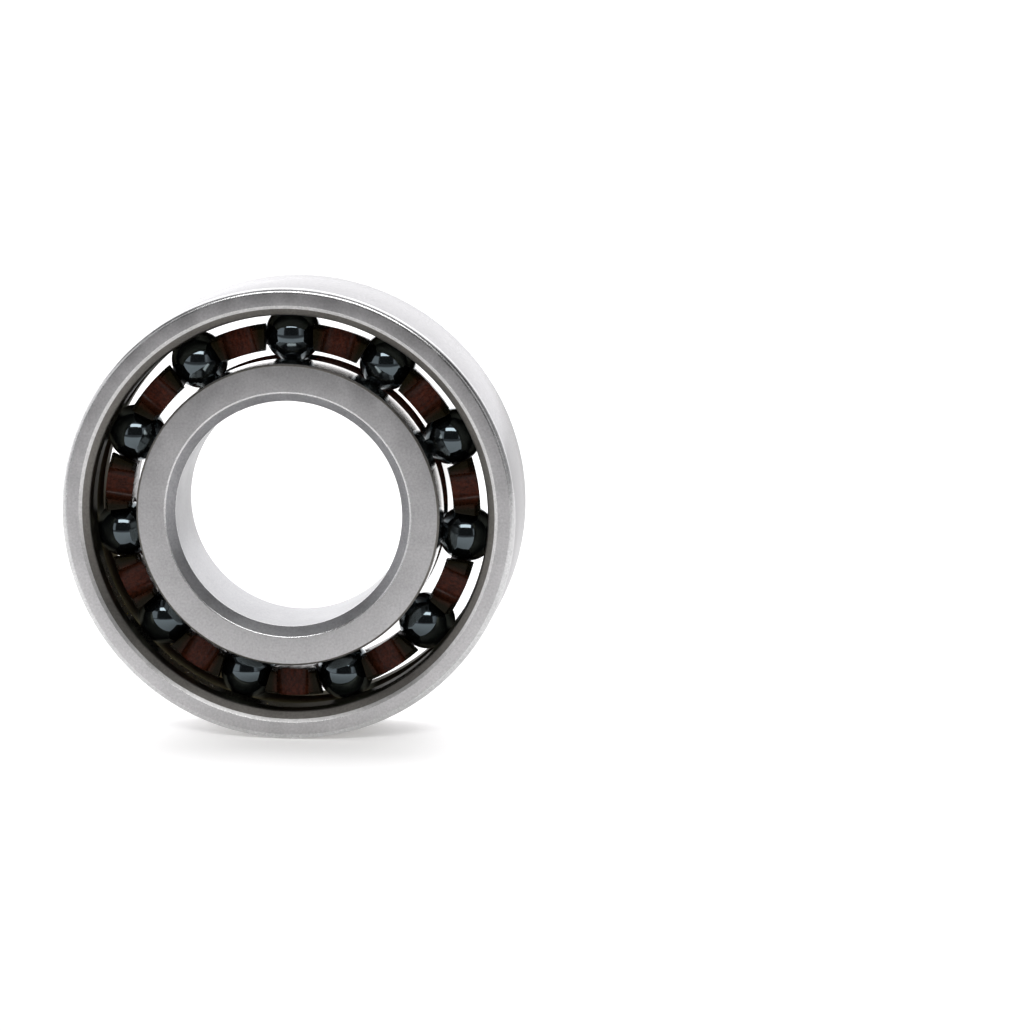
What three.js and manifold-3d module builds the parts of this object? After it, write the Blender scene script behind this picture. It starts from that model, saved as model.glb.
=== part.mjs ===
// Single-row deep-groove ball bearing, 12 x 24 x 6 mm: two steel rings, eleven ceramic balls
// and a one-piece snap-in crown cage.
//
// Millimetres.  The bearing axis is +Y and the origin is the bearing's centre.  The bearing
// stands on its rim, so +Z is up.  The open (claw) side of the cage faces -Y.

import * as THREE from 'three'
import { mergeVertices } from 'three/addons/utils/BufferGeometryUtils.js'
import Module from 'manifold-3d'

const wasm = await Module()
wasm.setup()

// Boundary dimensions of the bearing.
const BORE_R = 6
const OUTSIDE_R = 12
const HALF_WIDTH = 3

// Balls and the circle their centres run on.
const BALL_COUNT = 11
const BALL_R = 1.5
const PITCH_R = 9.25
const FIRST_BALL_DEG = 90.2
const BALL_PITCH_DEG = 360 / BALL_COUNT

// Ball grooves: the same section in both rings, a little larger than the ball.
const GROOVE_R = 1.56
const GROOVE_STEPS = 8

// Outer ring.
const OUTER_LAND_R = 10.47
const OUTER_LAND_START = 1
const OUTER_STEP_R = 10.56
const OUTER_STEP_DEPTH = 0.42
const OUTER_LEAD_R = 10.92
const OUTER_LIP_R = 11.09
const OUTER_LIP_DEPTH = 0.12
const RIM_ROUND = 0.27
const RIM_ROUND_STEPS = 3

// Inner ring.
const INNER_LAND_R = 8.03
const INNER_FACE_R = 7.93
const INNER_SHOULDER_DEPTH = 0.1
const BORE_CHAMFER = 0.5
const BORE_EDGE_ROUND = 0.06

// Crown cage: widest at the floor of its recesses, tapering to the claw tips in front and to
// the solid back behind.
const CAGE_IN_R = 8.56
const CAGE_OUT_R = 10
const CLAW_IN_R = 8.72
const CLAW_OUT_R = 9.75
const CAGE_BACK_IN_R = 8.8
const CAGE_BACK_OUT_R = 9.45
const CAGE_FRONT = -1.75
const CAGE_BACK = 2.2
const CAGE_EDGE = 0.08
const POCKET_R = 1.6
const POCKET_STEPS = 20
const MOUTH_HALF = 1.3
const RECESS_HALF = 0.85
const RECESS_FLOOR = -1.15
const RECESS_CORNER = 0.5
const RECESS_CORNER_STEPS = 3

// Facets round the axis; the cage's count is a multiple of the ball count.
const RING_SEGMENTS = 72
const CAGE_SEGMENTS = BALL_COUNT * 8
const BALL_SEGMENTS = 24

// How far a cutter reaches past the surface it opens.
const CUT_PAST = 0.5

const point = (x, y) => new THREE.Vector2(x, y)

// Points on an arc, both ends included; the angles are in degrees.
function arc(centreX, centreY, radius, fromDeg, toDeg, steps) {
  const points = []
  for (let i = 0; i <= steps; i += 1) {
    const angle = THREE.MathUtils.degToRad(fromDeg + (toDeg - fromDeg) * i / steps)
    points.push(point(centreX + radius * Math.cos(angle), centreY + radius * Math.sin(angle)))
  }
  return points
}

// A geometry reduced to welded positions, as the booleans and the export need it.
function weld(geometry) {
  const bare = geometry.clone()
  bare.deleteAttribute('normal')
  bare.deleteAttribute('uv')
  return mergeVertices(bare)
}

// A body turned about the Y axis from a closed (radius, y) outline, anticlockwise.
function turned(outline, segments) {
  const closed = [...outline, outline[0].clone()]
  return weld(new THREE.LatheGeometry(closed, segments))
}

// The half angle at which a ball groove meets a land of the given radius.
function grooveHalfDeg(landR) {
  return THREE.MathUtils.radToDeg(Math.acos(Math.abs(landR - PITCH_R) / GROOVE_R))
}

function outerRing() {
  const roundR = OUTSIDE_R - RIM_ROUND
  const roundY = HALF_WIDTH - RIM_ROUND
  const half = grooveHalfDeg(OUTER_LAND_R)
  const outline = [
    ...arc(roundR, -roundY, RIM_ROUND, -90, 0, RIM_ROUND_STEPS),
    ...arc(roundR, roundY, RIM_ROUND, 0, 90, RIM_ROUND_STEPS),
    point(OUTER_LIP_R, HALF_WIDTH),
    point(OUTER_LEAD_R, HALF_WIDTH - OUTER_LIP_DEPTH),
    point(OUTER_STEP_R, HALF_WIDTH - OUTER_STEP_DEPTH),
    point(OUTER_LAND_R, HALF_WIDTH - OUTER_LAND_START),
    ...arc(PITCH_R, 0, GROOVE_R, half, -half, GROOVE_STEPS),
    point(OUTER_LAND_R, OUTER_LAND_START - HALF_WIDTH),
    point(OUTER_STEP_R, OUTER_STEP_DEPTH - HALF_WIDTH),
    point(OUTER_LEAD_R, OUTER_LIP_DEPTH - HALF_WIDTH),
    point(OUTER_LIP_R, -HALF_WIDTH),
  ]
  return turned(outline, RING_SEGMENTS)
}

function innerRing() {
  const half = grooveHalfDeg(INNER_LAND_R)
  const chamferR = BORE_R + BORE_CHAMFER
  const chamferY = HALF_WIDTH - BORE_CHAMFER
  const outline = [
    point(chamferR, -HALF_WIDTH),
    point(INNER_FACE_R, -HALF_WIDTH),
    point(INNER_LAND_R, INNER_SHOULDER_DEPTH - HALF_WIDTH),
    ...arc(PITCH_R, 0, GROOVE_R, 180 + half, 180 - half, GROOVE_STEPS),
    point(INNER_LAND_R, HALF_WIDTH - INNER_SHOULDER_DEPTH),
    point(INNER_FACE_R, HALF_WIDTH),
    point(chamferR, HALF_WIDTH),
    point(BORE_R + BORE_EDGE_ROUND, chamferY + BORE_EDGE_ROUND),
    point(BORE_R, chamferY - BORE_EDGE_ROUND),
    point(BORE_R, BORE_EDGE_ROUND - chamferY),
    point(BORE_R + BORE_EDGE_ROUND, -chamferY - BORE_EDGE_ROUND),
  ]
  return turned(outline, RING_SEGMENTS)
}

// The plain tapered ring the cage is cut from, with small flats on its edges.
function cageBlank() {
  return turned([
    point(CLAW_IN_R + CAGE_EDGE, CAGE_FRONT),
    point(CLAW_OUT_R - CAGE_EDGE, CAGE_FRONT),
    point(CLAW_OUT_R, CAGE_FRONT + CAGE_EDGE),
    point(CAGE_OUT_R, RECESS_FLOOR),
    point(CAGE_BACK_OUT_R, CAGE_BACK - CAGE_EDGE),
    point(CAGE_BACK_OUT_R - CAGE_EDGE, CAGE_BACK),
    point(CAGE_BACK_IN_R + CAGE_EDGE, CAGE_BACK),
    point(CAGE_BACK_IN_R, CAGE_BACK - CAGE_EDGE),
    point(CAGE_IN_R, RECESS_FLOOR),
    point(CLAW_IN_R, CAGE_FRONT + CAGE_EDGE),
  ], CAGE_SEGMENTS)
}

// Outline of a ball pocket, x along the pitch circle: a round seat that closes in front of
// the ball to a straight mouth narrower than the ball.
function pocketOutline() {
  const mouthDeg = -THREE.MathUtils.radToDeg(Math.acos(MOUTH_HALF / POCKET_R))
  return [
    ...arc(0, 0, POCKET_R, mouthDeg, 180 - mouthDeg, POCKET_STEPS),
    point(-MOUTH_HALF, CAGE_FRONT - CUT_PAST),
    point(MOUTH_HALF, CAGE_FRONT - CUT_PAST),
  ]
}

// Outline of the recess between the claws of neighbouring pockets.
function recessOutline() {
  const cornerX = RECESS_HALF - RECESS_CORNER
  const cornerY = RECESS_FLOOR - RECESS_CORNER
  return [
    ...arc(cornerX, cornerY, RECESS_CORNER, 0, 90, RECESS_CORNER_STEPS),
    ...arc(-cornerX, cornerY, RECESS_CORNER, 90, 180, RECESS_CORNER_STEPS),
    point(-RECESS_HALF, CAGE_FRONT - CUT_PAST),
    point(RECESS_HALF, CAGE_FRONT - CUT_PAST),
  ]
}

// A cutter with the given outline, reaching radially right through the cage at an angle
// counted from +X towards +Z.
function radialCutter(outline, angleDeg) {
  const depth = CAGE_OUT_R - CAGE_IN_R + 2 * CUT_PAST
  const settings = { depth, bevelEnabled: false, steps: 1 }
  const cutter = new THREE.ExtrudeGeometry(new THREE.Shape(outline), settings)
  cutter.translate(0, 0, CAGE_IN_R - CUT_PAST)
  cutter.rotateY(THREE.MathUtils.degToRad(90 - angleDeg))
  return weld(cutter)
}

function toSolid(geometry) {
  const vertProperties = Float32Array.from(geometry.attributes.position.array)
  const triVerts = Uint32Array.from(geometry.index.array)
  return new wasm.Manifold(new wasm.Mesh({ numProp: 3, vertProperties, triVerts }))
}

function fromSolid(solid) {
  const mesh = solid.getMesh()
  const geometry = new THREE.BufferGeometry()
  geometry.setAttribute('position', new THREE.BufferAttribute(mesh.vertProperties, 3))
  geometry.setIndex(new THREE.BufferAttribute(mesh.triVerts, 1))
  return geometry
}

function crownCage() {
  let solid = toSolid(cageBlank())
  for (let i = 0; i < BALL_COUNT; i += 1) {
    const pocketDeg = FIRST_BALL_DEG + i * BALL_PITCH_DEG
    const recessDeg = pocketDeg + BALL_PITCH_DEG / 2
    solid = solid.subtract(toSolid(radialCutter(pocketOutline(), pocketDeg)))
    solid = solid.subtract(toSolid(radialCutter(recessOutline(), recessDeg)))
  }
  return fromSolid(solid)
}

function ball(index) {
  const angle = THREE.MathUtils.degToRad(FIRST_BALL_DEG + index * BALL_PITCH_DEG)
  const sphere = new THREE.SphereGeometry(BALL_R, BALL_SEGMENTS, BALL_SEGMENTS / 2)
  sphere.translate(PITCH_R * Math.cos(angle), 0, PITCH_R * Math.sin(angle))
  return weld(sphere)
}

const steel = new THREE.MeshStandardMaterial({ color: 0xb9bbbd, metalness: 1, roughness: 0.3 })
const ceramic = new THREE.MeshStandardMaterial({ color: 0x14171a, metalness: 0, roughness: 0.1 })
const polymer = new THREE.MeshStandardMaterial({ color: 0x5a2f22, metalness: 0, roughness: 0.6 })

const group = new THREE.Group()

function addPart(name, geometry, material) {
  geometry.computeVertexNormals()
  const mesh = new THREE.Mesh(geometry, material)
  mesh.name = name
  group.add(mesh)
}

addPart('outer_ring', outerRing(), steel)
addPart('inner_ring', innerRing(), steel)
addPart('cage', crownCage(), polymer)
for (let i = 0; i < BALL_COUNT; i += 1) {
  addPart(`ball_${String(i + 1).padStart(2, '0')}`, ball(i), ceramic)
}

export default group
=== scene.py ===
"""Open deep-groove ball bearing with ceramic balls, standing on its rim on a pale floor.

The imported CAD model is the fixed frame.  Every CAD node is replaced by a finer piece of the
same size: turned steel rings with rounded edges, polished balls and a moulded crown cage.
Lengths are in millimetres until they reach a mesh, which is in metres.  The bearing axis is
+Y, +Z is up and the camera stands on the -Y side.
"""

import math

import bpy
import bmesh
from mathutils import Matrix, Vector


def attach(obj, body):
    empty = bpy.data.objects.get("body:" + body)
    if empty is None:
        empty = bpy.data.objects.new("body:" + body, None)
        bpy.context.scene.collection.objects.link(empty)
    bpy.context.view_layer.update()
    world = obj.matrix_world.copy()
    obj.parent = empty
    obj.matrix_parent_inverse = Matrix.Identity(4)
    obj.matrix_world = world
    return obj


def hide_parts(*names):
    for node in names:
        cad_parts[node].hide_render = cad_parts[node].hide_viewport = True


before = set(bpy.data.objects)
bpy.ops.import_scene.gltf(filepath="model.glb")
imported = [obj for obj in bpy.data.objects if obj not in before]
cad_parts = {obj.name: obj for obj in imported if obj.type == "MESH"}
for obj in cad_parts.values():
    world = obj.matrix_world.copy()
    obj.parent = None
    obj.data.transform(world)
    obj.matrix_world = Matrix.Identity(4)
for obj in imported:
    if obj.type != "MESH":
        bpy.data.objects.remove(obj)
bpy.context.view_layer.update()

MM = 0.001

# Boundary dimensions of the bearing.
BORE_R = 6.0
OUTSIDE_R = 12.0
HALF_WIDTH = 3.0

# Balls and their grooves.
BALL_COUNT = 11
BALL_R = 1.5
PITCH_R = 9.25
FIRST_BALL = math.radians(90.2)
GROOVE_R = 1.53

# Ring sections.
OUTER_LAND_R = 10.47
OUTER_LEAD_R = 10.92
OUTER_STEP_R = 10.56
OUTER_STEP_DEPTH = 0.42
OUTER_LAND_START = 1.0
OUTER_LIP_R = 11.09
OUTER_LIP_DEPTH = 0.12
RIM_ROUND = 0.27
INNER_LAND_R = 8.03
INNER_FACE_R = 7.93
INNER_SHOULDER_DEPTH = 0.1
BORE_CHAMFER = 0.5

# Rounding radii of the other ring corners.
LIP_ROUND = 0.02
LEAD_ROUND = 0.03
STEP_ROUND = 0.2
LAND_ROUND = 0.3
SHOULDER_ROUND = 0.04
CHAMFER_ROUND = 0.14
BORE_ROUND = 0.06

# Crown cage.
CAGE_IN_R = 8.56
CAGE_OUT_R = 10.0
CLAW_IN_R = 8.72
CLAW_OUT_R = 9.75
CAGE_BACK_IN_R = 8.8
CAGE_BACK_OUT_R = 9.45
CAGE_FRONT = -1.75
CAGE_BACK = 2.2
CAGE_EDGE = 0.08
POCKET_R = 1.58
MOUTH_HALF = 1.3
RECESS_HALF = 0.85
RECESS_FLOOR = -1.15
RECESS_CORNER = 0.5
CUT_PAST = 0.5

# Fineness of the meshes.  The crease angles, in degrees, tell a corner from a curve.
RING_SEGMENTS = 288
CAGE_SEGMENTS = BALL_COUNT * 24
BALL_SUBDIVISIONS = 5
ROUND_STEPS = 5
GROOVE_STEPS = 24
POCKET_STEPS = 48
RECESS_STEPS = 8
CAGE_EDGE_STEPS = 3
CAGE_EDGE_ANGLE = 35
RING_CREASE = 28
CAGE_CREASE = 40

# Finishes of the rings: colour, roughness, height of the grain, height of the marks that run
# round the axis, both in metres, and how bright the surface is when it is seen edge-on.
RING_FINISHES = {
    "outer_face": ((0.46, 0.453, 0.457), 0.34, 4.5e-6, 1.7e-6, 1.0),
    "inner_face": ((0.41, 0.405, 0.408), 0.34, 4.5e-6, 1.7e-6, 1.0),
    "rim": ((0.39, 0.385, 0.39), 0.24, 0.8e-6, 1.2e-6, 0.66),
    # The edge finish is brighter than the faces beside it, partly as its own polish and
    # partly as a painted highlight along the roundings.
    "edge": ((0.54, 0.54, 0.54), 0.26, 0.5e-6, 0.5e-6, 1.0),
    "turned": ((0.185, 0.176, 0.162), 0.46, 1.5e-6, 1.5e-6, 1.0),
    "chamfer": ((0.35, 0.35, 0.36), 0.45, 1.5e-6, 2.5e-6, 1.0),
    "bore": ((0.24, 0.24, 0.245), 0.36, 0.8e-6, 1.0e-6, 1.0),
    "lip": ((0.56, 0.555, 0.55), 0.36, 0.8e-6, 0.8e-6, 1.0),
    # This finish is painted shade: the outer ring's lands and groove are coloured dark olive
    # and kept dim when seen edge-on, in place of the shade that falls inside the ring.
    "inside_shade": ((0.13, 0.122, 0.095), 0.34, 0.6e-6, 0.6e-6, 0.2),
    "land": ((0.42, 0.41, 0.39), 0.14, 0.6e-6, 0.6e-6, 1.0),
    "race": ((0.58, 0.58, 0.57), 0.12, 0.3e-6, 0.3e-6, 1.0),
}

# Parts of a noise texture's range: nearly all of it, and its middle.
NOISE_MOST = (0.3, 0.7)
NOISE_MIDDLE = (0.35, 0.65)

# Where shade is painted on the cage beside the balls: parts of a pitch away from the middle
# of a recess, and places along the axis.
CAGE_SHADE_OFF = (0.07, 0.21)
CAGE_SHADE_Y = (RECESS_FLOOR, 0.5)

# Floor.  Both fades are places along Y, in front of the bearing.
FLOOR_X = (-600.0, 600.0)
FLOOR_Y = (-420.0, 600.0)
FLOOR_GLOW = 0.3
FLOOR_DIM_GLOW = 0.08
FLOOR_LIT_FADE = (-90.0, -60.0)
FLOOR_SEEN_FADE = (-60.0, -50.0)

# Light tent: how bright its parts are, and where they lie in a unit direction.
BACK_GLOW = 2.2
SIDE_GLOW = 1.2
DARK_GLOW = 0.06
TOP_GLOW = 0.25
BACKDROP_GLOW = 1.05
RIGHT_SHADE = 0.75
BACK_FROM_Y = (-0.1, 0.25)
SIDE_FROM_AZIMUTH = (math.radians(28), math.radians(34))
SIDE_BELOW_Z = (0.47, 0.38)
TOP_FROM_Z = (0.66, 0.82)
RIGHT_FROM_X = (0.45, 0.8)

# Softbox and camera.  CAMERA_LENS is the focal length, and nothing nearer than CAMERA_NEAR
# is drawn.
LAMP_PLACE = (0.0, -235.0, 183.0)
LAMP_SIZE = (225.0, 64.0)
LAMP_RADIANCE = 8.0
CAMERA_PLACE = (37.4, -253.4, 44.8)
CAMERA_AIM = (11.70, 0.0, -0.28)
CAMERA_LENS = 171.3
CAMERA_NEAR = 10.0
SENSOR_WIDTH = 36.0


# ---------------------------------------------------------------- outlines

def arc(centre, radius, start, end, steps):
    """Points on an arc from one angle to another, in degrees, both ends included."""
    points = []
    for i in range(steps + 1):
        angle = math.radians(start + (end - start) * i / steps)
        x = centre[0] + radius * math.cos(angle)
        y = centre[1] + radius * math.sin(angle)
        points.append((x, y))
    return points


def rounded_corner(before, corner, after, radius):
    """The arc that rounds one corner of an outline."""
    corner = Vector(corner)
    a = (Vector(before) - corner).normalized()
    b = (Vector(after) - corner).normalized()
    half = a.angle(b) / 2
    reach = radius / math.tan(half)
    centre = corner + (a + b).normalized() * (radius / math.sin(half))
    start = corner + a * reach - centre
    turn = (corner + b * reach - centre).angle_signed(start)
    points = []
    for i in range(ROUND_STEPS + 1):
        angle = turn * i / ROUND_STEPS
        arm = Matrix.Rotation(angle, 2) @ start
        points.append(tuple(centre + arm))
    return points


def finished(corners):
    """An outline as (point, finish) pairs.

    Each corner is (point, rounding radius, finish); the finish names the surface that runs
    from this corner to the next.  A rounding is brighter than the ground surfaces beside it,
    partly as its own finish and partly as a painted highlight, but inside the outer ring it
    looks like the surface that it runs into.
    """
    count = len(corners)
    outline = []
    for i, (point, radius, finish) in enumerate(corners):
        if radius == 0:
            outline.append((point, finish))
            continue
        before = corners[i - 1][0]
        after = corners[(i + 1) % count][0]
        *most, last = rounded_corner(before, point, after, radius)
        # A rounding beside the painted shade inside the outer ring, or beside a turned
        # surface, keeps that surface's finish; any other gets the edge finish, which is
        # partly a painted highlight.
        rounding = finish if finish in ("turned", "inside_shade") else "edge"
        outline += [(p, rounding) for p in most]
        outline.append((last, finish))
    return outline


def groove(land_r, outwards, race, land):
    """The ball groove of one ring, from its +Y shoulder to its -Y shoulder."""
    half = math.degrees(math.acos(abs(land_r - PITCH_R) / GROOVE_R))
    start, end = (half, -half) if outwards else (180 + half, 180 - half)
    *most, last = arc((PITCH_R, 0), GROOVE_R, start, end, GROOVE_STEPS)
    return [(p, 0, race) for p in most] + [(last, 0, land)]


def outer_ring_corners():
    """Section of the outer ring: outside diameter, lip, stepped lead-in, land and groove."""
    w = HALF_WIDTH
    return [
        ((OUTSIDE_R, -w), RIM_ROUND, "rim"),
        ((OUTSIDE_R, w), RIM_ROUND, "outer_face"),
        ((OUTER_LIP_R, w), LIP_ROUND, "lip"),
        ((OUTER_LEAD_R, w - OUTER_LIP_DEPTH), LEAD_ROUND, "turned"),
        ((OUTER_STEP_R, w - OUTER_STEP_DEPTH), STEP_ROUND, "turned"),
        ((OUTER_LAND_R, w - OUTER_LAND_START), LAND_ROUND, "inside_shade"),
        *groove(OUTER_LAND_R, True, "inside_shade", "inside_shade"),
        ((OUTER_LAND_R, OUTER_LAND_START - w), LAND_ROUND, "inside_shade"),
        ((OUTER_STEP_R, OUTER_STEP_DEPTH - w), STEP_ROUND, "turned"),
        ((OUTER_LEAD_R, OUTER_LIP_DEPTH - w), LEAD_ROUND, "lip"),
        ((OUTER_LIP_R, -w), LIP_ROUND, "outer_face"),
    ]


def inner_ring_corners():
    """Section of the inner ring: side faces, lands, groove, chamfers and bore."""
    w = HALF_WIDTH
    chamfer_r = BORE_R + BORE_CHAMFER
    chamfer_y = w - BORE_CHAMFER
    return [
        ((chamfer_r, -w), CHAMFER_ROUND, "inner_face"),
        ((INNER_FACE_R, -w), SHOULDER_ROUND, "turned"),
        ((INNER_LAND_R, INNER_SHOULDER_DEPTH - w), SHOULDER_ROUND, "land"),
        *groove(INNER_LAND_R, False, "race", "land"),
        ((INNER_LAND_R, w - INNER_SHOULDER_DEPTH), SHOULDER_ROUND, "turned"),
        ((INNER_FACE_R, w), SHOULDER_ROUND, "inner_face"),
        ((chamfer_r, w), CHAMFER_ROUND, "chamfer"),
        ((BORE_R, chamfer_y), BORE_ROUND, "bore"),
        ((BORE_R, -chamfer_y), BORE_ROUND, "chamfer"),
    ]


# ---------------------------------------------------------------- meshes

def new_object(name, mesh):
    piece = bpy.data.objects.new(name, mesh)
    bpy.context.scene.collection.objects.link(piece)
    return piece


def turned_piece(name, outline, segments, finishes):
    """A body of revolution about +Y; each stretch of the outline takes its own material."""
    count = len(outline)
    vertices = []
    for s in range(segments):
        angle = 2 * math.pi * s / segments
        c, n = math.cos(angle) * MM, math.sin(angle) * MM
        vertices += [(r * c, y * MM, r * n) for (r, y), _ in outline]
    faces = []
    slots = []
    names = list(finishes)
    for s in range(segments):
        t = (s + 1) % segments
        for i in range(count):
            j = (i + 1) % count
            faces.append((s * count + i, s * count + j, t * count + j, t * count + i))
            slots.append(names.index(outline[i][1]))
    mesh = bpy.data.meshes.new(name)
    mesh.from_pydata(vertices, [], faces)
    for material in finishes.values():
        mesh.materials.append(material)
    mesh.polygons.foreach_set("material_index", slots)
    return new_object(name, mesh)


def outward(piece):
    """Turns every face of a closed mesh outwards."""
    work = bmesh.new()
    work.from_mesh(piece.data)
    bmesh.ops.recalc_face_normals(work, faces=work.faces)
    work.to_mesh(piece.data)
    work.free()


def smooth_shaded(piece, crease_deg):
    """Smooth shading, with a sharp edge wherever two faces meet at more than the crease."""
    piece.data.shade_smooth()
    piece.data.set_sharp_from_angle(angle=math.radians(crease_deg))


def ring(name, corners, finishes):
    """One bearing ring, turned from its section."""
    piece = turned_piece(name, finished(corners), RING_SEGMENTS, finishes)
    outward(piece)
    smooth_shaded(piece, RING_CREASE)
    return piece


def ball_place(index):
    """Centre of a ball, in metres, at an angle that turns from +X towards +Z."""
    angle = FIRST_BALL + index * 2 * math.pi / BALL_COUNT
    return Vector((math.cos(angle), 0, math.sin(angle))) * (PITCH_R * MM)


def ball(name, index, material):
    mesh = bpy.data.meshes.new(name)
    work = bmesh.new()
    bmesh.ops.create_icosphere(work, subdivisions=BALL_SUBDIVISIONS, radius=BALL_R * MM)
    bmesh.ops.translate(work, verts=work.verts, vec=ball_place(index))
    work.to_mesh(mesh)
    work.free()
    mesh.materials.append(material)
    piece = new_object(name, mesh)
    piece.data.shade_smooth()
    return piece


def pocket_outline():
    """Round seat that closes in front of the ball to a straight mouth narrower than it."""
    mouth = -math.degrees(math.acos(MOUTH_HALF / POCKET_R))
    end_y = CAGE_FRONT - CUT_PAST
    seat = arc((0, 0), POCKET_R, mouth, 180 - mouth, POCKET_STEPS)
    return [*seat, (-MOUTH_HALF, end_y), (MOUTH_HALF, end_y)]


def recess_outline():
    """Hollow between the claws of neighbouring pockets."""
    x = RECESS_HALF - RECESS_CORNER
    y = RECESS_FLOOR - RECESS_CORNER
    end_y = CAGE_FRONT - CUT_PAST
    right = arc((x, y), RECESS_CORNER, 0, 90, RECESS_STEPS)
    left = arc((-x, y), RECESS_CORNER, 90, 180, RECESS_STEPS)
    return [*right, *left, (-RECESS_HALF, end_y), (RECESS_HALF, end_y)]


def add_radial_cutter(work, outline, angle):
    """Adds a prism that reaches radially through the cage at an angle from +X towards +Z."""
    out = Vector((math.cos(angle), 0, math.sin(angle)))
    along = Vector((-math.sin(angle), 0, math.cos(angle)))
    axial = Vector((0, 1, 0))
    rings = []
    for r in (CAGE_IN_R - CUT_PAST, CAGE_OUT_R + CUT_PAST):
        points = [(out * r + along * x + axial * y) * MM for x, y in outline]
        rings.append([work.verts.new(p) for p in points])
    inner, outer = rings
    work.faces.new(inner)
    work.faces.new(outer[::-1])
    count = len(outline)
    for i in range(count):
        j = (i + 1) % count
        work.faces.new((inner[j], inner[i], outer[i], outer[j]))


def cage_cutters():
    """One object that holds the prisms of all pockets and recesses."""
    work = bmesh.new()
    pitch = 2 * math.pi / BALL_COUNT
    for i in range(BALL_COUNT):
        angle = FIRST_BALL + i * pitch
        add_radial_cutter(work, pocket_outline(), angle)
        add_radial_cutter(work, recess_outline(), angle + pitch / 2)
    bmesh.ops.recalc_face_normals(work, faces=work.faces)
    mesh = bpy.data.meshes.new("cage_cutters")
    work.to_mesh(mesh)
    work.free()
    return new_object("cage_cutters", mesh)


def apply_modifiers(piece):
    """Makes the modified shape the piece's own mesh."""
    depsgraph = bpy.context.evaluated_depsgraph_get()
    mesh = bpy.data.meshes.new_from_object(piece.evaluated_get(depsgraph))
    piece.modifiers.clear()
    piece.data = mesh


def cut_away(piece, cutters):
    """Subtracts the cutters from the piece, and removes them."""
    cut = piece.modifiers.new("pockets", "BOOLEAN")
    cut.operation = "DIFFERENCE"
    cut.solver = "EXACT"
    cut.object = cutters
    apply_modifiers(piece)
    bpy.data.objects.remove(cutters)


def round_edges(piece):
    """Rounds every edge of the cage that is not part of a curve."""
    edges = piece.modifiers.new("edges", "BEVEL")
    edges.width = CAGE_EDGE * MM
    edges.segments = CAGE_EDGE_STEPS
    edges.limit_method = "ANGLE"
    edges.angle_limit = math.radians(CAGE_EDGE_ANGLE)
    apply_modifiers(piece)


def crown_cage(name, material):
    """A tapered ring with round pockets and recesses cut in from its -Y side."""
    section = [
        (CLAW_IN_R, CAGE_FRONT),
        (CLAW_OUT_R, CAGE_FRONT),
        (CAGE_OUT_R, RECESS_FLOOR),
        (CAGE_BACK_OUT_R, CAGE_BACK),
        (CAGE_BACK_IN_R, CAGE_BACK),
        (CAGE_IN_R, RECESS_FLOOR),
    ]
    outline = [(point, "moulded") for point in section]
    piece = turned_piece(name, outline, CAGE_SEGMENTS, {"moulded": material})
    outward(piece)
    cut_away(piece, cage_cutters())
    round_edges(piece)
    smooth_shaded(piece, CAGE_CREASE)
    return piece


# ---------------------------------------------------------------- materials

class Nodes:
    """A node tree, with short calls for the nodes used here."""

    def __init__(self, tree):
        self.tree = tree

    def add(self, kind, **settings):
        """Adds a node and gives it its settings."""
        node = self.tree.nodes.new(kind)
        for key, value in settings.items():
            setattr(node, key, value)
        return node

    def link(self, output, node_input):
        self.tree.links.new(output, node_input)

    def put(self, node_input, value):
        """Sets an input to a number, or links another node's output to it."""
        if isinstance(value, bpy.types.NodeSocket):
            self.link(value, node_input)
        else:
            node_input.default_value = value

    def math(self, operation, a, b=0.0):
        node = self.add("ShaderNodeMath", operation=operation)
        self.put(node.inputs[0], a)
        self.put(node.inputs[1], b)
        return node.outputs[0]

    def place(self, space="Object"):
        return self.add("ShaderNodeTexCoord").outputs[space]

    def split(self, vector):
        node = self.add("ShaderNodeSeparateXYZ")
        self.link(vector, node.inputs[0])
        return node.outputs

    def camera_ray(self):
        return self.add("ShaderNodeLightPath").outputs["Is Camera Ray"]

    def noise(self, vector, scale, detail=3.0, roughness=0.5):
        node = self.add("ShaderNodeTexNoise")
        node.inputs["Scale"].default_value = scale
        node.inputs["Detail"].default_value = detail
        node.inputs["Roughness"].default_value = roughness
        self.link(vector, node.inputs["Vector"])
        return node.outputs[0]

    def spread(self, value, given, wanted=(0.0, 1.0), shape="LINEAR"):
        """Maps the given pair of values to the wanted pair, and holds it beyond them."""
        node = self.add("ShaderNodeMapRange", interpolation_type=shape)
        self.link(value, node.inputs["Value"])
        node.inputs["From Min"].default_value = given[0]
        node.inputs["From Max"].default_value = given[1]
        node.inputs["To Min"].default_value = wanted[0]
        node.inputs["To Max"].default_value = wanted[1]
        return node.outputs[0]

    def step(self, value, given):
        """Rises softly from 0 at the first given value to 1 at the second."""
        return self.spread(value, given, shape="SMOOTHSTEP")

    def blend(self, factor, first, second, blend_type="MIX"):
        node = self.add("ShaderNodeMix", data_type="RGBA", blend_type=blend_type)
        self.put(node.inputs["Factor"], factor)
        self.put(node.inputs["A"], first)
        self.put(node.inputs["B"], second)
        return node.outputs["Result"]


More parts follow.
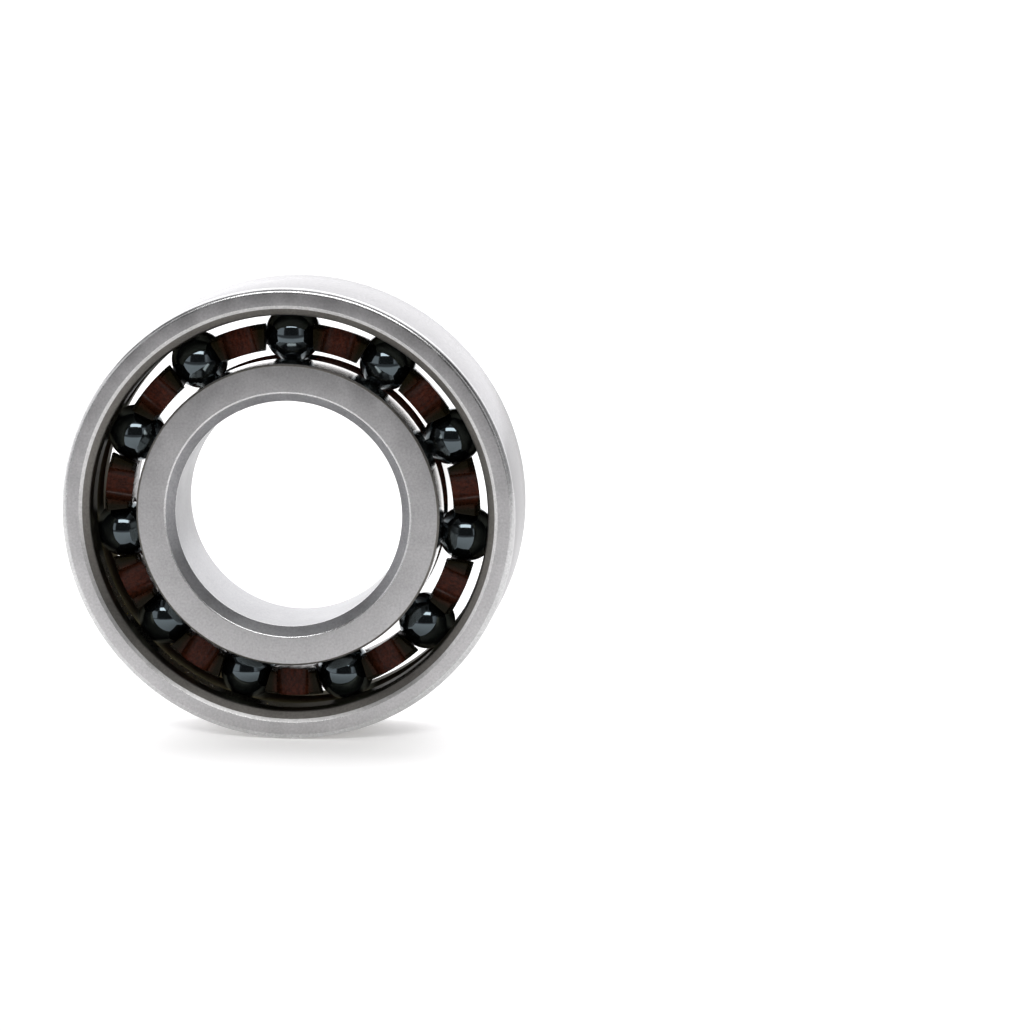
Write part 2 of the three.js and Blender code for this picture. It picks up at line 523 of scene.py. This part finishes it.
class Surface(Nodes):
    """The node tree of one material, around its Principled shader."""

    def __init__(self, name):
        self.material = bpy.data.materials.new(name)
        self.material.use_nodes = True
        super().__init__(self.material.node_tree)
        self.shader = self.tree.nodes["Principled BSDF"]

    def give(self, **values):
        """Sets the shader's inputs; Base_Color stands for the input called Base Color."""
        for key, value in values.items():
            self.put(self.shader.inputs[key.replace("_", " ")], value)

    def bump(self, height, distance=1.0):
        """Raises the surface by height times distance, in metres."""
        node = self.add("ShaderNodeBump")
        node.inputs["Strength"].default_value = 1.0
        node.inputs["Distance"].default_value = distance
        self.link(height, node.inputs["Height"])
        self.link(node.outputs[0], self.shader.inputs["Normal"])

    def polar(self, round_scale, radial_scale, axial_scale):
        """A place measured round the bearing axis: short steps across the lay, long ones
        along it, with no seam."""
        x, y, z = self.split(self.place())
        square = self.math("ADD", self.math("MULTIPLY", x, x), self.math("MULTIPLY", z, z))
        radius = self.math("SQRT", square)
        turn_x = self.math("MULTIPLY", self.math("DIVIDE", x, radius), round_scale)
        turn_z = self.math("MULTIPLY", self.math("DIVIDE", z, radius), round_scale)
        across = self.math("MULTIPLY", radius, radial_scale)
        along = self.math("MULTIPLY", y, axial_scale)
        joined = self.add("ShaderNodeCombineXYZ")
        self.link(turn_x, joined.inputs[0])
        self.link(turn_z, joined.inputs[1])
        self.link(self.math("ADD", across, along), joined.inputs[2])
        return joined.outputs[0]


def metres(places):
    """Places in millimetres, as places in metres."""
    return [place * MM for place in places]


def shaded(colour, factor):
    """A colour made darker or lighter, no channel above 1, with full opacity."""
    return [min(1.0, channel * factor) for channel in colour] + [1.0]


def steel(name, colour, roughness, grain, lay, edge_tint):
    """Bearing steel: fine random grain, marks that run round the axis, and faint stains."""
    n = Surface(name)
    fine = n.noise(n.place(), scale=8000, detail=3.0, roughness=0.7)
    lay_place = n.polar(round_scale=14, radial_scale=26000, axial_scale=26000)
    marks = n.noise(lay_place, scale=1.0, detail=2.0, roughness=0.6)
    cloud = n.noise(n.place(), scale=700, detail=3.0, roughness=0.55)
    stain = n.spread(cloud, NOISE_MOST, (0.91, 1.06))
    speckle = n.spread(fine, NOISE_MOST)
    mottled = n.blend(speckle, shaded(colour, 0.82), shaded(colour, 1.12))
    height = n.math("ADD", n.math("MULTIPLY", fine, grain), n.math("MULTIPLY", marks, lay))
    n.give(
        Base_Color=n.blend(1.0, mottled, stain, "MULTIPLY"),
        Metallic=1.0,
        Specular_Tint=(edge_tint, edge_tint, edge_tint, 1),
        Roughness=n.spread(cloud, NOISE_MOST, (roughness * 0.9, roughness * 1.12)),
    )
    n.bump(height)
    return n.material


def ceramic(name):
    """Polished black silicon nitride with a faint haze."""
    black = (0.0015, 0.0018, 0.002, 1)
    hazy = (0.003, 0.0035, 0.004, 1)
    n = Surface(name)
    haze = n.noise(n.place(), scale=2500, detail=3.0, roughness=0.6)
    n.give(
        Base_Color=n.blend(n.spread(haze, NOISE_MIDDLE), black, hazy),
        IOR=1.9,
        Specular_Tint=(0.74, 0.9, 0.98, 1),
        Roughness=n.spread(haze, NOISE_MOST, (0.05, 0.09)),
    )
    n.bump(n.noise(n.place(), scale=9000, detail=1.0), distance=2e-7)
    return n.material


def painted_shade_beside_ball(n):
    """Mask of the painted shade on the cage: 1 on the front next to a ball, 0 in the middle
    of a bar and at the back.
    """
    x, y, z = n.split(n.place())
    pitch = 2 * math.pi / BALL_COUNT
    turns = n.math("DIVIDE", n.math("SUBTRACT", n.math("ARCTAN2", z, x), FIRST_BALL), pitch)
    off_middle = n.math("ABSOLUTE", n.math("SUBTRACT", n.math("FRACT", turns), 0.5))
    by_ball = n.spread(off_middle, CAGE_SHADE_OFF)
    in_front = n.spread(y, metres(CAGE_SHADE_Y), (1.0, 0.0))
    return n.math("MULTIPLY", by_ball, in_front)


def polymer(name):
    """Dark red-brown moulded polymer with flow streaks, and painted shade that makes it
    nearly black and less glossy beside the balls.
    """
    deep_red = (0.022, 0.005, 0.0025, 1)
    warm_red = (0.060, 0.013, 0.006, 1)
    # Colour of the shade painted beside the balls.
    painted_shade_black = (0.006, 0.0045, 0.0015, 1)
    n = Surface(name)
    flow_place = n.polar(round_scale=60, radial_scale=4200, axial_scale=1200)
    streaks = n.noise(flow_place, scale=1.0, detail=3.0, roughness=0.6)
    grain = n.noise(n.place(), scale=9000, detail=3.0, roughness=0.6)
    flow = n.blend(n.spread(streaks, NOISE_MIDDLE), deep_red, warm_red)
    # Painted shade: the front of the cage beside each ball is coloured nearly black and
    # reflects less, in place of the shade that falls there.
    painted_shade = painted_shade_beside_ball(n)
    n.give(
        Base_Color=n.blend(painted_shade, flow, painted_shade_black),
        Specular_IOR_Level=n.spread(painted_shade, (0.0, 1.0), (0.1, 0.06)),
        Roughness=n.spread(grain, NOISE_MOST, (0.22, 0.34)),
    )
    grain_height = n.math("MULTIPLY", grain, 3e-6)
    streak_height = n.math("MULTIPLY", streaks, 6e-6)
    n.bump(n.math("ADD", grain_height, streak_height))
    return n.material


def floor_material(name):
    """Lit white paper.  In reflections it falls off to dark grey in front of the bearing,
    where the camera still sees it plain pale."""
    dark_grey = (0.10, 0.10, 0.105, 1)
    cool_white = (0.86, 0.86, 0.865, 1)
    white = (0.88, 0.88, 0.88, 1)
    n = Surface(name)
    fibres = n.noise(n.place(), scale=900, detail=4.0, roughness=0.6)
    x, y, z = n.split(n.place())
    fade = metres(FLOOR_LIT_FADE)
    paper = n.blend(n.spread(fibres, NOISE_MOST), cool_white, white)
    n.give(
        Base_Color=n.blend(n.spread(y, fade), dark_grey, paper),
        Roughness=0.7,
        Emission_Color=(1.0, 0.985, 0.955, 1),
        Emission_Strength=n.spread(y, fade, (FLOOR_DIM_GLOW, FLOOR_GLOW)),
    )
    n.bump(fibres, distance=1e-5)
    show_plain_to_camera(n, y)
    return n.material


def show_plain_to_camera(n, y):
    """Puts a plain white glow in place of the floor's far front, for camera rays only."""
    beyond = n.spread(y, metres(FLOOR_SEEN_FADE), (1.0, 0.0))
    mix = n.add("ShaderNodeMixShader")
    n.link(n.math("MULTIPLY", n.camera_ray(), beyond), mix.inputs[0])
    n.link(n.shader.outputs[0], mix.inputs[1])
    n.link(n.add("ShaderNodeEmission").outputs[0], mix.inputs[2])
    n.link(mix.outputs[0], n.tree.nodes["Material Output"].inputs["Surface"])


# ---------------------------------------------------------------- the bearing

finishes = {
    finish: steel(f"steel_{finish}", *values)
    for finish, values in RING_FINISHES.items()
}

outer = ring("outer_ring_turned", outer_ring_corners(), finishes)
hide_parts("outer_ring")
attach(outer, "outer")

inner = ring("inner_ring_turned", inner_ring_corners(), finishes)
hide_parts("inner_ring")
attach(inner, "inner")

cage = crown_cage("cage_moulded", polymer("cage_polymer"))
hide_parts("cage")
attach(cage, "separator")

ball_ceramic = ceramic("ball_ceramic")
for i in range(BALL_COUNT):
    node = f"ball_{i + 1:02d}"
    sphere = ball(f"{node}_polished", i, ball_ceramic)
    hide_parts(node)
    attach(sphere, f"{node}_body")


# ---------------------------------------------------------------- stage, light and camera

def pale_floor():
    """The sheet that the outer ring stands on."""
    mesh = bpy.data.meshes.new("floor")
    z = -OUTSIDE_R
    left, right = FLOOR_X
    front, back = FLOOR_Y
    corners = [(left, front, z), (right, front, z), (right, back, z), (left, back, z)]
    mesh.from_pydata([Vector(c) * MM for c in corners], [], [(0, 1, 2, 3)])
    mesh.materials.append(floor_material("floor_paper"))
    piece = new_object("floor", mesh)


def tent_glow(n):
    """How bright the light tent is in each direction: bright behind, low white walls at both
    sides, darker towards the right, a faint glow overhead, and dark in front."""
    x, y, z = n.split(n.place("Generated"))
    azimuth = n.math("ABSOLUTE", n.math("ARCTAN2", x, n.math("MULTIPLY", y, -1.0)))
    beside = n.step(azimuth, SIDE_FROM_AZIMUTH)
    low = n.step(z, SIDE_BELOW_Z)
    walls = n.math("MULTIPLY", n.math("MULTIPLY", beside, low), SIDE_GLOW)
    behind = n.step(y, BACK_FROM_Y)
    back = n.math("ADD", n.math("MULTIPLY", behind, BACK_GLOW), DARK_GLOW)
    front = n.math("MULTIPLY", n.math("SUBTRACT", 1.0, behind), walls)
    shade = n.math("MULTIPLY", n.step(x, RIGHT_FROM_X), RIGHT_SHADE)
    unshaded = n.math("SUBTRACT", 1.0, shade)
    around = n.math("MULTIPLY", n.math("ADD", back, front), unshaded)
    over = n.math("MULTIPLY", n.step(z, TOP_FROM_Z), TOP_GLOW)
    return n.math("ADD", around, over)


def soft_surround():
    """The light tent, and an even white backdrop in its place for the camera."""
    world = bpy.data.worlds.new("surround")
    bpy.context.scene.world = world
    world.use_nodes = True
    n = Nodes(world.node_tree)
    n.tree.nodes.clear()
    mix = n.add("ShaderNodeMix")
    n.link(n.camera_ray(), mix.inputs["Factor"])
    n.link(tent_glow(n), mix.inputs["A"])
    mix.inputs["B"].default_value = BACKDROP_GLOW
    background = n.add("ShaderNodeBackground")
    background.inputs["Color"].default_value = (0.995, 0.99, 1.01, 1)
    n.link(mix.outputs["Result"], background.inputs["Strength"])
    output = n.add("ShaderNodeOutputWorld")
    n.link(background.outputs[0], output.inputs["Surface"])


def soft_lamp(name, place, size, radiance):
    """A rectangular softbox at a place in millimetres, facing the bearing."""
    light = bpy.data.lights.new(name, "AREA")
    light.shape = "RECTANGLE"
    light.size, light.size_y = metres(size)
    light.energy = radiance * math.pi * light.size * light.size_y
    lamp = new_object(name, light)
    lamp.location = Vector(place) * MM
    lamp.rotation_euler = (-lamp.location).to_track_quat("-Z", "Y").to_euler()


def photograph_camera():
    """Stands at the photograph's angle, with the bearing left of the middle of the view."""
    lens = bpy.data.cameras.new("camera")
    lens.sensor_width = SENSOR_WIDTH
    lens.lens = CAMERA_LENS
    lens.clip_start = CAMERA_NEAR * MM
    camera = new_object("camera", lens)
    camera.location = Vector(CAMERA_PLACE) * MM
    sight = (Vector(CAMERA_AIM) - Vector(CAMERA_PLACE)) * MM
    camera.rotation_euler = sight.to_track_quat("-Z", "Y").to_euler()
    bpy.context.scene.camera = camera


pale_floor()
soft_surround()
soft_lamp("lamp_front", LAMP_PLACE, LAMP_SIZE, LAMP_RADIANCE)
photograph_camera()
bpy.context.scene.view_settings.view_transform = "Standard"
